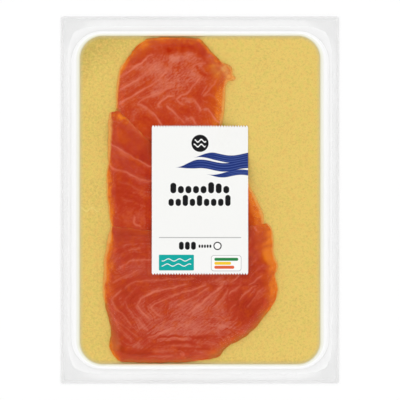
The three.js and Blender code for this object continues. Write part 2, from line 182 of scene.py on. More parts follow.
# Small marks on the flesh of each kind: how strong, how wide, and points. A shade mark is
# darker, a light one paler, and in a glow the board shows through. The brown marks along the
# flesh's edges are painted contact shadow; a few shade marks are painted shade and one light
# mark a painted highlight, as said at them.
MARKS = {
    "slice_upper": {
        "light": [(0.6, 2, [(6.3, 91), (7.5, 89.5)])],
        "shade": [(0.7, 0.8, [(-2, 84), (0, 80), (3, 78)])],
        "orange": [
            (0.7, 2.2, [(-36, 96), (-30, 99.4), (-15, 99.8), (-3, 99)]),
            (0.9, 2.2, [(7.5, 88.5), (12, 86)]),
            (0.8, 2.5, [(5, 82.5), (8, 84.5)]),
            (0.7, 4.2, [(11, 78), (10.5, 62), (8.5, 48)]),
        ],
        # Painted contact shadow along the flesh's edges
        "edge_shadow": [
            (0.9, 0.8, [(-52.2, 56.8), (-50.6, 55.8)]),
            (0.9, 0.7, [(1.6, 99.8), (5.2, 95.4), (8.6, 91.8), (12, 88.8)]),
            (0.8, 0.6, [(-45, 90.8), (-43, 93.6), (-41.2, 95.4)]),
            (0.5, 0.6, [(-33, 101.3), (-17, 102.1), (-2, 101.5)]),
            (0.5, 0.6, [(15.2, 86), (18.4, 84.6), (19.6, 83)]),
        ],
        "glow": [
            (0.35, 3, [(9, 83), (13, 79)]),
            (0.9, 3, [(15.5, 82.5), (18, 78)]),
            (0.9, 1.2, [(20, 76.6), (22, 76.8)]),
        ],
    },
    "slice_middle": {
        "light": [
            (0.5, 0.6, [(-55.5, 51), (-51.5, 48.5), (-48, 50.6), (-45.5, 51.8)]),
            (0.5, 1.4, [(-45.6, 50.4), (-34.5, 38.4)]),
            (0.6, 0.7, [(-40.3, -2.2), (-34.6, -3.8)]),
            (1.5, 0.6, [(-41.3, -10.7), (-41.6, -14), (-40, -15.6), (-37.6, -16.4)]),
            (0.3, 0.8, [(-47, 0), (-42, -1)]),
        ],
        "shade": [
            # The next three are painted shade beside the label's left and right edges
            (0.45, 0.6, [(-33.6, 37), (-33.6, -17)]),
            (0.35, 2.5, [(-31, 46), (-31.5, 20), (-31, -17)]),
            (0.3, 0.6, [(33.7, 3), (33.7, -14)]),
        ],
        "orange": [
            (1, 3, [(-55, 53), (-51, 52), (-46, 50.4)]),
            (1, 1.3, [(-57, 18.4), (-56.2, 12.4)]),
            (0.4, 4, [(-53, 47), (-50, 41), (-47, 38)]),
            (0.35, 1.6, [(-54, 30.4), (-46, 27), (-38, 22.6)]),
        ],
    },
    "slice_lower": {
        "light": [
            # A painted highlight on a fold near this slice's upper edge
            (1.4, 0.8, [(34.3, -17.6), (36.5, -19.4)]),
            (0.5, 0.7, [(-44, -31.2), (-38, -30.4)]),
            (0.5, 0.5, [(-42.6, -35.5), (-41.6, -38)]),
            (0.5, 1, [(12, -79), (15.5, -79.6)]),
        ],
        "shade": [
            # Painted shade along this slice's upper edge, where it lies over the middle slice
            (0.5, 0.6, [(-56, -16.6), (-48, -16.6), (-40, -17.8)]),
            (0.5, 0.7, [(-22, -55), (-5, -53.8), (12, -54.5), (30, -53), (41, -52)]),
            # The next two are painted shade beside the label's left and right edges
            (0.4, 0.6, [(-33.6, -19), (-33.6, -46)]),
            (0.3, 0.6, [(33.7, -17), (33.7, -46)]),
            (0.6, 0.8, [(16, -81.4), (19, -80.6), (22, -81.6)]),
            (0.6, 0.7, [(-25, -85.6), (-8, -85.9), (4, -86.4)]),
            (0.6, 0.8, [(-22, -89.6), (-10, -89.4), (-3, -90.2)]),
            (0.5, 0.8, [(-48, -96.5), (-38, -96.8), (-28, -96.4)]),
            (0.5, 0.7, [(-14, -93.4), (-4, -93.2), (6, -94)]),
            (0.6, 0.6, [(-30.5, -84.8), (-25.5, -82.4)]),
        ],
        "orange": [
            (0.8, 3.5, [(40, -17.5), (43, -22), (44, -31)]),
            (0.6, 3, [(6, -97.5), (12, -93.5), (19, -88.5), (26, -85)]),
            (0.6, 2.5, [(38, -71), (42, -66), (45, -60)]),
        ],
        # Painted contact shadow along the flesh's edges
        "edge_shadow": [
            (0.85, 2.2, [(8, -99.4), (17, -93), (25.6, -88), (34.7, -80.6), (41, -72)]),
            (0.8, 1.9, [(-59.6, -66), (-58.2, -73), (-56.4, -83), (-57.2, -89)]),
            (0.4, 3, [(-55.6, -80), (-53, -93)]),
            (0.6, 1.2, [(-48, -101.6), (-20, -102), (-6, -101)]),
        ],
    },
}

# Pale and deep red places in the flesh: middle, radii across and along, and how pale
PLACES = {
    "slice_upper": [(-16, 89, 6, 3, 0.9), (-7.5, 91.5, 3.5, 3, 0.8), (-10.5, 76, 12, 8, 0.35),
        (-7.5, 51, 2.8, 2, 0.8), (-6.6, 62.3, 2.5, 1.2, 0.6), (3.6, 56.7, 1.5, 0.8, 0.7),
        (-30, 82, 7, 5, 0.3), (-42, 74, 6, 3, 0.2), (-22, 73, 6, 4, 0.4), (-40, 83.5, 5, 1.5, 0.5),
        (2, 93, 2.5, 3, -1.2), (-19.5, 94, 2.5, 2, -1.1), (-6, 98, 2, 1.5, -1.2),
        (-14, 99.5, 14, 2, -0.5), (-20, 50, 9, 4, -0.4), (-33, 50, 6, 6, -0.4),
        (-10, 56.5, 5, 2.5, -0.5), (0, 66, 6, 5, -0.3), (-2, 78, 5, 3, 0.3), (-25, 82, 7, 5, 0.4),
        (-3, 82, 4, 4, 0.5), (-8, 96, 8, 4, -0.8), (-28, 68, 5, 4, 0.4)],
    "slice_middle": [(-34, 38, 4, 7, -0.4), (-47, 45, 7, 4, 0.2), (-36, 27, 3, 5, -0.8),
        (-36, -13, 4, 8, 0.3), (-46, -10, 6, 6, 0.3), (-46, 8, 6, 8, -0.3), (-44, 24, 7, 2, -0.3),
        (-34, 15, 4, 2, -0.4)],
    "slice_lower": [(-3, -79, 6, 2.5, 0.6), (16.5, -80, 8, 2.5, 0.6), (-19, -82, 14, 4, 0.5),
        (14.5, -50.5, 8, 2, 0.5), (-12, -66, 20, 4, 0.35), (-4, -76, 27, 10, 0.4),
        (-4, -49, 26, 2.5, -0.45), (31, -68, 8, 8, -0.4), (-45, -60, 4, 6, -0.3),
        (-20, -47, 18, 2, -0.3), (27, -66, 8, 6, -0.35), (-5, -93, 16, 4, 0.2),
        (-38, -97, 12, 3, -0.5), (-49, -93.5, 2.5, 2, -1.2), (-38, -92, 4, 2.5, 0.6),
        (-46, -21, 12, 4, -0.7), (38, -24, 5, 5, -0.6), (40, -36, 5, 4, -0.4),
        (30, -75, 6, 4, -0.3)],
}

# Mottled places: middle, radii across and along, and strength
MOTTLED = {
    "slice_upper": [(-11, 76, 13, 8, 1), (-4, 88, 8, 5, 0.5)],
    "slice_middle": [],
    "slice_lower": [(-4, -80, 30, 6, 0.9), (-35, -84, 12, 6, 0.4)],
}

# The rim along each side: height on the pack, and the widths there of its orange band and of
# the thin edge that the board shows through
RIMS = {
    "slice_upper": {
        "left": [(40, 3, 1.2), (76, 3, 1.2), (84, 5, 0.8), (90, 8, 0.4), (103, 8, 0.2)],
        "right": [(45, 13, 1.8), (66, 12, 1.8), (72, 8, 1.2), (76, 6, 2), (85, 5, 2), (88, 4, 0.6),
            (103, 4, 0.1)],
        "upper": [(100, 4, 0.1)],
        "lower": [(16, 0, 0)],
    },
    "slice_middle": {
        "left": [(-45, 4, 0.8), (-24, 5, 1.4), (-15, 5, 1), (-10, 5.5, 0.7), (20, 6, 0.8),
            (24, 3.5, 1), (34, 4, 3), (50, 4, 3), (55, 3, 1)],
        "right": [(-40, 12, 1.2), (28, 12, 1.8)],
        "upper": [(30, 0, 0)],
        "lower": [(-40, 0, 0)],
    },
    "slice_lower": {
        "left": [(-101, 4, 0.2), (-92, 5, 0.4), (-82, 2, 0.3), (-66, 3, 0.4), (-58, 8, 1.6),
            (-30, 9, 2), (-24, 5, 1.8), (-17, 3, 1.4)],
        "right": [(-101, 2, 0.2), (-88, 2.5, 0.3), (-74, 3, 0.3), (-64, 6, 0.5), (-55, 12, 0.8),
            (-20, 12, 1), (-14, 8, 1)],
        "upper": [(-20, 0, 0)],
        "lower": [(-101, 1.2, 0)],
    },
}

SIDES = ("left", "right", "lower", "upper")


def srgb(red, green, blue):
    """A colour as the screen shows it, 0 to 255, as the linear value that a shader takes."""
    shares = np.array([red, green, blue]) / 255
    linear = np.where(shares <= 0.04045, shares / 12.92, ((shares + 0.055) / 1.055) ** 2.4)
    return (*(float(value) for value in linear), 1.0)


FLESH = {
    "slice_upper": {"flesh": srgb(198, 70, 32), "pale": srgb(220, 124, 98),
                    "deep": srgb(182, 38, 4), "streaks": 0.26, "strand": 0.42},
    "slice_middle": {"flesh": srgb(189, 57, 27), "pale": srgb(214, 100, 72),
                     "deep": srgb(170, 38, 18), "streaks": 0.22, "strand": 0.3},
    "slice_lower": {"flesh": srgb(188, 62, 34), "pale": srgb(212, 114, 92),
                    "deep": srgb(168, 44, 20), "streaks": 0.4, "strand": 0.16},
}
EMBER, CRIMSON = srgb(212, 86, 12), srgb(186, 52, 38)
ORANGE, BRIGHT_ORANGE = srgb(212, 90, 8), srgb(234, 126, 28)
# Painted contact shadow along the flesh's edges
EDGE_SHADOW_BROWN = srgb(182, 110, 42)
FAT = srgb(228, 124, 96)
THIN_EDGE = srgb(234, 168, 86)
GOLD = srgb(242, 210, 114)
GOLD_DARK = srgb(186, 160, 78)
GOLD_TINTS = srgb(214, 206, 92), srgb(240, 186, 98)
GOLD_EDGE = srgb(218, 204, 152)
GOLD_PALE = srgb(250, 228, 140)
# Painted light of the film's lip and rise round the board, and a painted pink reflection of the
# flesh in it
LIP_TINTS = srgb(234, 228, 196), srgb(246, 204, 172)
LIP_FAR, RISE_WHITE = srgb(250, 250, 234), srgb(254, 254, 254)
SEAL_TINTS = srgb(212, 212, 212), srgb(248, 248, 248)
PAPER_TINTS = srgb(243, 243, 241), srgb(238, 238, 235)
INK, WHITE = srgb(22, 22, 24), srgb(246, 246, 244)
NAVY, LIGHT_NAVY, TEAL = srgb(30, 50, 118), srgb(78, 100, 166), srgb(16, 165, 158)
RULE_GREY, FRAME_GREY = srgb(130, 130, 130), srgb(190, 190, 190)
GREEN, YELLOW, CORAL = srgb(40, 130, 70), srgb(240, 196, 50), srgb(220, 96, 56)


# Lines and outlines

def evenly(line, count):
    """The same line with its points spread evenly along it."""
    steps = np.hypot(*np.diff(line, axis=0).T)
    reached = np.concatenate([[0], np.cumsum(steps)])
    wanted = np.linspace(0, reached[-1], count)
    return np.column_stack([np.interp(wanted, reached, line[:, axis]) for axis in (0, 1)])


def smooth_line(points, count):
    """A smooth curve through a few points, as count points spread evenly along it."""
    given = np.array(points, float)
    padded = np.vstack([given[:1], given, given[-1:]])
    t = np.linspace(0, 1, 24, endpoint=False)[:, None]
    pieces = [
        0.5 * (2 * start + (end - before) * t
               + (2 * before - 5 * start + 4 * end - after) * t ** 2
               + (3 * start - before - 3 * end + after) * t ** 3)
        for before, start, end, after in zip(padded, padded[1:], padded[2:], padded[3:])
    ]
    return evenly(np.vstack([*pieces, given[-1:]]), count)


def along(line, shares):
    """The points of an even line at some shares of its length."""
    places = np.asarray(shares) * (len(line) - 1)
    index = np.arange(len(line))
    return np.column_stack([np.interp(places, index, line[:, axis]) for axis in (0, 1)])


def closed_outline(sides):
    """The four sides as one loop, counter-clockwise, without its first point again."""
    return np.vstack([sides["lower"][:-1], sides["right"][:-1], sides["upper"][:0:-1],
                      sides["left"][:0:-1]])


def rounded_sides(width, length, corner):
    """The four sides of a rounded rectangle, which meet halfway round its corners."""
    angles = np.radians(np.arange(0, 91, 5))
    quarter = np.column_stack([np.cos(angles), np.sin(angles)]) * corner
    middle = np.array([width / 2 - corner, length / 2 - corner])
    upper_right = quarter + middle
    half = len(angles) // 2
    right_half = upper_right[:half + 1]
    upper_half = upper_right[half:]
    right = np.vstack([right_half[::-1] * (1, -1), right_half])
    upper = np.vstack([upper_half * (-1, 1), upper_half[::-1]])
    sides = {"right": right, "left": right * (-1, 1), "upper": upper, "lower": upper * (1, -1)}
    return {side: evenly(line, 401) for side, line in sides.items()}


def patch(sides, columns, rows):
    """A grid of points spread between four sides, at shares across and shares along."""
    lower, upper = along(sides["lower"], columns), along(sides["upper"], columns)
    left, right = along(sides["left"], rows), along(sides["right"], rows)
    u = columns[None, :, None]
    v = rows[:, None, None]
    between = lower * (1 - v) + upper * v + left[:, None] * (1 - u) + right[:, None] * u
    below = lower[0] * (1 - u) + lower[-1] * u
    above = upper[0] * (1 - u) + upper[-1] * u
    return between - below * (1 - v) - above * v


def nearest_on(line, x, y):
    """Each point's distance to a line, its side (1 on the right) and how far along it is."""
    nearest = np.full(x.shape, np.inf)
    side = np.zeros(x.shape)
    share = np.zeros(x.shape)
    for index, ((ax, ay), (bx, by)) in enumerate(zip(line, line[1:])):
        dx, dy = bx - ax, by - ay
        t = np.clip(((x - ax) * dx + (y - ay) * dy) / (dx * dx + dy * dy), 0, 1)
        gap = (x - ax - t * dx) ** 2 + (y - ay - t * dy) ** 2
        closer = gap < nearest
        nearest[closer] = gap[closer]
        side[closer] = np.sign((y - ay) * -dx + (x - ax) * dy)[closer]
        share[closer] = ((index + t) / (len(line) - 1))[closer]
    return np.sqrt(nearest), side, share


def inside(outline, x, y):
    """Which points lie inside a closed outline."""
    found = np.zeros(x.shape, bool)
    for (ax, ay), (bx, by) in zip(outline, np.roll(outline, -1, axis=0)):
        if ay != by:
            found ^= ((ay > y) != (by > y)) & (x < ax + (y - ay) / (by - ay) * (bx - ax))
    return found


def smoothstep(value, low=0.0, high=1.0):
    share = np.clip((value - low) / (high - low), 0, 1)
    return share * share * (3 - 2 * share)


def between_cells(cells, rows, columns, up, right):
    """Values between four neighbouring cells, given by two rows and two columns."""
    low, high = (cells[row, columns[0]] * (1 - right) + cells[row, columns[1]] * right
                 for row in rows)
    return low * (1 - up) + high * up


def wander(x, y, size, seed):
    """Smooth random values from -1 to 1, with bumps about size across."""
    cells = 128
    lattice = np.random.default_rng(seed).uniform(-1, 1, (cells, cells))
    px, py = x / size + cells / 2, y / size + cells / 2
    column, row = np.floor(px).astype(int), np.floor(py).astype(int)
    rows, columns = ((first % cells, (first + 1) % cells) for first in (row, column))
    return between_cells(lattice, rows, columns, smoothstep(py - row), smoothstep(px - column))


# Heights on an even grid over the pack

STEP = 0.5
GRID_XS = np.arange(-90, 90 + STEP / 2, STEP)
GRID_YS = np.arange(-118, 118 + STEP / 2, STEP)
GRID_X, GRID_Y = np.meshgrid(GRID_XS, GRID_YS)


def read(field, x, y):
    """A grid's values at any points, read between its own points."""
    px = np.clip((x - GRID_XS[0]) / STEP, 0, len(GRID_XS) - 1.001)
    py = np.clip((y - GRID_YS[0]) / STEP, 0, len(GRID_YS) - 1.001)
    column, row = px.astype(int), py.astype(int)
    return between_cells(field, (row, row + 1), (column, column + 1), py - row, px - column)


def shifted(field, right, up):
    """The grid moved by whole steps, with its edge values repeated."""
    rows = np.clip(np.arange(field.shape[0]) - up, 0, field.shape[0] - 1)
    columns = np.clip(np.arange(field.shape[1]) - right, 0, field.shape[1] - 1)
    return field[rows][:, columns]


def tented(field, slope, reach):
    """The field with its walls leaned outwards to a slope, as far as reach."""
    result = field.copy()
    for _ in range(int(reach / STEP)):
        around = [(right, up) for right in (-1, 0, 1) for up in (-1, 0, 1) if right or up]
        moved = [shifted(result, right, up) - slope * STEP * math.hypot(right, up)
                 for right, up in around]
        result = np.maximum.reduce([result, *moved])
    return result


def blurred(field, spread):
    """The field smoothed by a bell curve of that spread."""
    reach = int(math.ceil(3 * spread / STEP))
    weights = np.exp(-0.5 * (np.arange(-reach, reach + 1) * STEP / spread) ** 2)
    weights = list(enumerate(weights / weights.sum(), start=-reach))
    result = sum(weight * shifted(field, offset, 0) for offset, weight in weights)
    return sum(weight * shifted(result, 0, offset) for offset, weight in weights)


def highest_around(field, radius):
    """The highest value within a radius of each point."""
    steps = int(radius / STEP)
    result = field
    for right in range(-steps, steps + 1):
        tall = int(math.sqrt(steps * steps - right * right))
        for up in {-tall, 0, tall}:
            result = np.maximum(result, shifted(field, right, up))
    return result


def mean_around(field, radius):
    """The mean of each point and eight more in a ring round it."""
    steps = radius / STEP
    ring = [(round(steps * math.cos(angle)), round(steps * math.sin(angle)))
            for angle in np.arange(8) * math.pi / 4]
    return sum(shifted(field, right, up) for right, up in [(0, 0), *ring]) / 9


# The pile of slices

def full_thickness(slice_, y):
    if not slice_["covered"]:
        return np.full(np.shape(y), float(SLICE["thickness"]))
    end = slice_["sides"]["lower"][0][1]
    share = smoothstep(y, end, end + TUCK["length"])
    return SLICE["thickness"] * (TUCK["share"] + (1 - TUCK["share"]) * share)


def slice_thickness(slice_, x, y, depth):
    """Thickness from a round rim up to the full flesh."""
    near_edge = np.clip(depth / SLICE["rim"], 0, 1)
    rim = SLICE["edge"] + (SLICE["rim"] - SLICE["edge"]) * np.sqrt(1 - (1 - near_edge) ** 2)
    relief = SLICE["relief"] * np.sin(x / 7 + y / 19) * np.cos(y / 11)
    rise = np.sin(np.clip(depth / SLICE["shoulder"], 0, 1) * math.pi / 2)
    return rim + (full_thickness(slice_, y) - SLICE["rim"] + relief) * rise


def lift_over(below, x, y):
    """How far a slice is lifted by the one it lies over."""
    if below is None:
        return np.zeros(np.shape(x))
    depth = read(below["depth"], x, y)
    share = smoothstep(depth, -DRAPE["outside"], DRAPE["inside"])
    return (full_thickness(below, y) + GAP) * share


def slice_heights(slice_, x, y, depth):
    """A slice's underside and top. Its upper edge is a thin veil close over the slice below."""
    below = slice_["below"]
    foot = BED + lift_over(below, x, y)
    thickness = slice_thickness(slice_, x, y, depth)
    if below is not None:
        share = smoothstep(read(slice_["veil"], x, y), 0, VEIL["reach"])
        close = read(below["top"], x, y) + VEIL["gap"]
        foot = close + (foot - close) * share
        thickness = thickness * (VEIL["share"] + (1 - VEIL["share"]) * share)
    return foot, foot + thickness


def prepare_slices():
    """Each slice's sides and, over the grid, its depth from its edge and the pile up to it."""
    below = None
    names = list(SLICES)
    slices = {}
    pile = np.full(GRID_X.shape, float(BOARD_HIGH[2]))
    for name in names:
        sides = {side: smooth_line(SLICES[name][side], 321) for side in SIDES}
        outline = closed_outline({side: evenly(sides[side], 41) for side in SIDES})
        loop = np.vstack([outline, outline[:1]])
        distance, _, _ = nearest_on(loop, GRID_X, GRID_Y)
        slice_ = {
            "sides": sides,
            "depth": np.where(inside(outline, GRID_X, GRID_Y), distance, -distance),
            "veil": nearest_on(evenly(sides["upper"], 41), GRID_X, GRID_Y)[0],
            "covered": name != names[-1],
            "below": below,
        }
        _, top = slice_heights(slice_, GRID_X, GRID_Y, np.maximum(slice_["depth"], 0))
        pile = np.where(slice_["depth"] > -STEP, np.maximum(pile, top), pile)
        slice_["top"] = pile
        slices[name] = slice_
        below = slice_
    return slices


# Meshes

def add_object(name, data, *materials):
    """A new object in the scene, with its materials."""
    item = bpy.data.objects.new(name, data)
    bpy.context.scene.collection.objects.link(item)
    for material in materials:
        data.materials.append(material)
    return item


def make_piece(name, points, groups, materials, nodes, kinds=None, values=None):
    """A smooth mesh from points in millimetres, which stands for some of the solids.

    Where kinds is given, it holds the number of the material of each group of faces.
    """
    faces = [face for group in groups for face in group]
    mesh = bpy.data.meshes.new(name)
    mesh.from_pydata((np.asarray(points) * MM).tolist(), [], faces)
    for value_name, numbers in (values or {}).items():
        layer = mesh.attributes.new(value_name, "FLOAT", "POINT")
        layer.data.foreach_set("value", np.asarray(numbers, np.float32))
    if kinds:
        numbers = np.repeat(kinds, [len(group) for group in groups])
        mesh.polygons.foreach_set("material_index", numbers.astype(np.int32))
    mesh.polygons.foreach_set("use_smooth", np.ones(len(faces), bool))
    mesh.update()
    piece = add_object(name, mesh, *materials)
    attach(piece, "root")
    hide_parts(*nodes)
    return piece


def grid_quads(rows, columns, start=0):
    """Faces between rows by columns of points that are numbered row by row."""
    corner = (np.arange(rows - 1)[:, None] * columns + np.arange(columns - 1)).ravel() + start
    return np.column_stack([corner, corner + 1, corner + columns + 1, corner + columns])


def edge_loop(rows, columns):
    """The numbers of a grid's edge points, counter-clockwise from its first."""
    numbers = np.arange(rows * columns).reshape(rows, columns)
    return np.concatenate([numbers[0, :-1], numbers[:-1, -1], numbers[-1, :0:-1],
                           numbers[:0:-1, 0]])


def edge_points(grid):
    """A grid's edge points, counter-clockwise from its first."""
    return grid.reshape(-1, grid.shape[-1])[edge_loop(*grid.shape[:2])]


def band_quads(upper, lower):
    """Faces that join two loops, with the lower one below or outside the upper one."""
    upper_next, lower_next = np.roll(upper, -1), np.roll(lower, -1)
    return np.column_stack([lower, lower_next, upper_next, upper])


def coarse_underside(rows, columns, step, loop_start, inner_start):
    """Faces for the underside of a grid, with one for each step by step cells.

    The loop's points are numbered from loop_start as edge_loop gives them, and the coarse
    points inside it from inner_start, row by row. Faces at the edge hold all its points.
    """
    place = {}
    for offset, number in enumerate(edge_loop(rows, columns)):
        place[divmod(int(number), columns)] = loop_start + offset
    inner = [(row, column) for row in range(step, rows - 1, step)
             for column in range(step, columns - 1, step)]
    for offset, spot in enumerate(inner):
        place[spot] = inner_start + offset

    def walk(start, end):
        """The numbered points from one corner towards the next, without the last."""
        row_step = int(np.sign(end[0] - start[0]))
        column_step = int(np.sign(end[1] - start[1]))
        spots = [(start[0] + row_step * part, start[1] + column_step * part)
                 for part in range(step)]
        return [place[spot] for spot in spots if spot in place]

    faces = []
    for row in range(0, rows - 1, step):
        for column in range(0, columns - 1, step):
            corners = [(row, column), (row + step, column), (row + step, column + step),
                       (row, column + step)]
            faces.append(sum((walk(a, b) for a, b in zip(corners, corners[1:] + corners[:1])), []))
    return inner, faces


def closed_skin(top, levels, under, step=1):
    """A closed skin: a fine grid, loops below its edge, and a grid underneath with larger cells.

    Gives its points, its faces in groups from the top down, and for each point the number of the
    fine grid's point that it lies under.
    """
    rows, columns = top.shape[:2]
    loop = edge_loop(rows, columns)
    starts = [rows * columns + index * len(loop) for index in range(len(levels) + 1)]
    loops = [loop, *(np.arange(len(loop)) + start for start in starts[:-1])]
    bands = [band_quads(above, below).tolist() for above, below in zip(loops, loops[1:])]
    inner, underside = coarse_underside(rows, columns, step, starts[-2], starts[-1])
    numbers = [row * columns + column for row, column in inner]
    points = np.vstack([top.reshape(-1, 3), *levels, under.reshape(-1, 3)[numbers]])
    groups = [grid_quads(rows, columns).tolist(), *bands, underside]
    source = np.concatenate([np.arange(rows * columns), *[loop] * len(levels), numbers])
    return points, groups, source


def crowded(count, share):
    """Shares from 0 to 1 that lie closer together near both ends."""
    even = np.linspace(0, 1, count)
    return even * (1 - share) + (1 - np.cos(even * math.pi)) / 2 * share


# Node trees

def feed(entry, value):
    """Sets a node's entry to a plain number or colour, or links another node's output to it."""
    if isinstance(value, (int, float, tuple)):
        entry.default_value = value
    else:
        entry.id_data.links.new(getattr(value, "socket", value), entry)


def add_node(tree, kind, entries=None, **settings):
    """A new node of a tree, with its settings made and its entries fed."""
    node = tree.nodes.new("ShaderNode" + kind)
    for name, setting in settings.items():
        setattr(node, name, setting)
    for place, value in (entries or {}).items():
        feed(node.inputs[place], value)
    return node


class Number:
    """A number in a node tree, with sums and products as further nodes."""

    def __init__(self, socket):
        self.socket = socket

    def apply(self, operation, *others):
        entries = dict(enumerate((self, *others)))
        node = add_node(self.socket.id_data, "Math", entries, operation=operation)
        return Number(node.outputs[0])

    __add__ = partialmethod(apply, "ADD")
    __sub__ = partialmethod(apply, "SUBTRACT")
    __mul__ = partialmethod(apply, "MULTIPLY")
    size = partialmethod(apply, "ABSOLUTE")
    largest = partialmethod(apply, "MAXIMUM")
    smallest = partialmethod(apply, "MINIMUM")
    sine = partialmethod(apply, "SINE")
    root = partialmethod(apply, "SQRT")

    def within(self, low, high):
        """0 at low and 1 at high, smooth between them."""
        entries = {"Value": self, "From Min": low, "From Max": high}
        node = add_node(self.socket.id_data, "MapRange", entries, interpolation_type="SMOOTHSTEP")
        return Number(node.outputs["Result"])


class Finish:
    """A material under way: its node tree, its shader and its places in millimetres."""

    def __init__(self, name, **sockets):
        self.material = bpy.data.materials.new(name)
        self.material.use_nodes = True
        self.tree = self.material.node_tree
        self.shader = self.tree.nodes["Principled BSDF"]
        for socket, value in sockets.items():
            self.shader.inputs[socket.replace("_", " ")].default_value = value
        places = add_node(self.tree, "TexCoord").outputs["Object"]
        scale = add_node(self.tree, "VectorMath", {0: places, "Scale": 1 / MM}, operation="SCALE")
        self.places = scale.outputs[0]
        split = add_node(self.tree, "SeparateXYZ", {0: self.places})
        self.x, self.y = (Number(split.outputs[axis]) for axis in "XY")

    def value(self, name):
        """A value that the mesh holds at each of its points."""
        return Number(add_node(self.tree, "Attribute", attribute_name=name).outputs["Fac"])

    def vector(self, x, y, z):
        return add_node(self.tree, "CombineXYZ", dict(enumerate((x, y, z)))).outputs[0]

    def noise(self, size, detail=2, places=None):
        """Random values from about -1 to 1, with bumps about size across."""
        entries = {"Scale": 1 / size, "Detail": detail, "Vector": places or self.places}
        return (Number(add_node(self.tree, "TexNoise", entries).outputs["Fac"]) - 0.5) * 4

    def mix(self, share, first, second):
        """A colour from first to second as share goes from 0 to 1."""
        node = add_node(self.tree, "Mix", {"Factor": share}, data_type="RGBA", clamp_factor=True)
        # Mix has sockets of the same names for each kind of data
        entries = [entry for entry in node.inputs if entry.type == "RGBA"]
        feed(entries[0], first)
        feed(entries[1], second)
        return next(output for output in node.outputs if output.type == "RGBA")

    def layered(self, colour, layers):
        """A colour with others laid over it in turn, each given by its share and itself."""
        for share, shade in layers:
            colour = self.mix(share, colour, shade)
        return colour

    def paint(self, colour):
        feed(self.shader.inputs["Base Color"], colour)

    def bump(self, height, depth):
        """Relief in the finish, depth millimetres for a height of 1."""
        node = add_node(self.tree, "Bump", {"Distance": depth * MM, "Height": height})
        feed(self.shader.inputs["Normal"], node.outputs[0])


# Fish

def line_values(name, x, y):
    """The fat's strength, the flesh's shading beside it and the band's number at each point."""
    fat = np.zeros(x.shape)
    shading = np.zeros(x.shape)
    total = np.zeros(x.shape)
    weights = np.zeros(x.shape)
    for band, strength, shoulder, points in FAT_LINES[name]:
        length = sum(math.dist(a, b) for a, b in zip(points, points[1:]))
        line = smooth_line(points, max(4, int(length / 1.5)))
        distance, side, share = nearest_on(line, x, y)
        unevenness = 0.8 + 0.35 * wander(x, y, 4, 11)
        taper = smoothstep(np.minimum(share, 1 - share) * length, -2.5, 1.5)
        profile = 0.8 * np.exp(-(distance / LINE_WIDTH) ** 2) + 0.22 * np.exp(-distance / 1.4)
        fat = np.maximum(fat, strength * unevenness * taper * profile)
        fade = np.where(side > 0, np.exp(-distance / 3.5), -0.7 * np.exp(-distance / 2))
        ends = smoothstep(np.minimum(share, 1 - share) * length, 0, 3)
        shading += shoulder * fade * ends
        weight = 1 / (distance ** 2 + 0.5) ** 1.5
        total += weight * (band + side * np.minimum(distance, 4) / 12)
        weights += weight
    return {"fat": np.clip(fat, 0, 1), "tone": shading * 0.45, "band": total / weights}


def mark_values(name, x, y):
    """How strong each kind of small mark is at each point."""
    values = {}
    for kind in ("light", "shade", "orange", "edge_shadow", "glow"):
        values[kind] = np.zeros(x.shape)
        for strength, width, points in MARKS[name].get(kind, []):
            distance, _, _ = nearest_on(smooth_line(points, 24), x, y)
            unevenness = 0.85 + 0.3 * wander(x, y, 2, 14)
            mark = strength * np.exp(-(distance / width) ** 2) * unevenness
            values[kind] = np.maximum(values[kind], mark)
    return values


def spots(places, x, y):
    """The sum of soft elliptical spots at each point."""
    result = np.zeros(x.shape)
    for middle_x, middle_y, across, up, amount in places:
        spread = ((x - middle_x) / across) ** 2 + ((y - middle_y) / up) ** 2
        result += amount * np.exp(-spread)
    return result


def rim_values(name, slice_, x, y):
    """How orange the rim is, and how much the board shows through the thin edge."""
    rim = np.zeros(x.shape)
    thin = np.zeros(x.shape)
    for side in SIDES:
        heights, widths, thin_widths = zip(*RIMS[name][side])
        uneven = 1 + 0.3 * wander(x, y, 6, 21)
        width = np.interp(y, heights, widths) * uneven
        thin_width = np.interp(y, heights, thin_widths) * uneven
        distance, _, _ = nearest_on(evenly(slice_["sides"][side], 41), x, y)
        near = smoothstep(1 - distance / np.maximum(width, 0.05), 0, 0.8)
        rim = np.maximum(rim, near * np.minimum(width / 4, 1))
        thin = np.maximum(thin, smoothstep(1.4 - distance / np.maximum(thin_width, 0.05)))
    return rim, thin


def fish_values(name, slice_, x, y):
    """The numbers that the flesh's colours follow, at each point."""
    values = line_values(name, x, y)
    marks = mark_values(name, x, y)
    rim, thin = rim_values(name, slice_, x, y)
    values["tone"] += spots(PLACES[name], x, y) + marks["light"] - marks["shade"]
    values["mottle"] = np.clip(spots(MOTTLED[name], x, y), 0, 1)
    near_edge = np.exp(-np.maximum(read(slice_["depth"], x, y), 0) / 4)
    values["rim"] = np.maximum.reduce([rim, marks["orange"], near_edge * 0.35])
    values["thin"] = np.maximum(thin, marks["glow"])
    # The brown marks are painted contact shadow along the flesh's edges
    values["edge_shadow"] = marks["edge_shadow"]
    return values


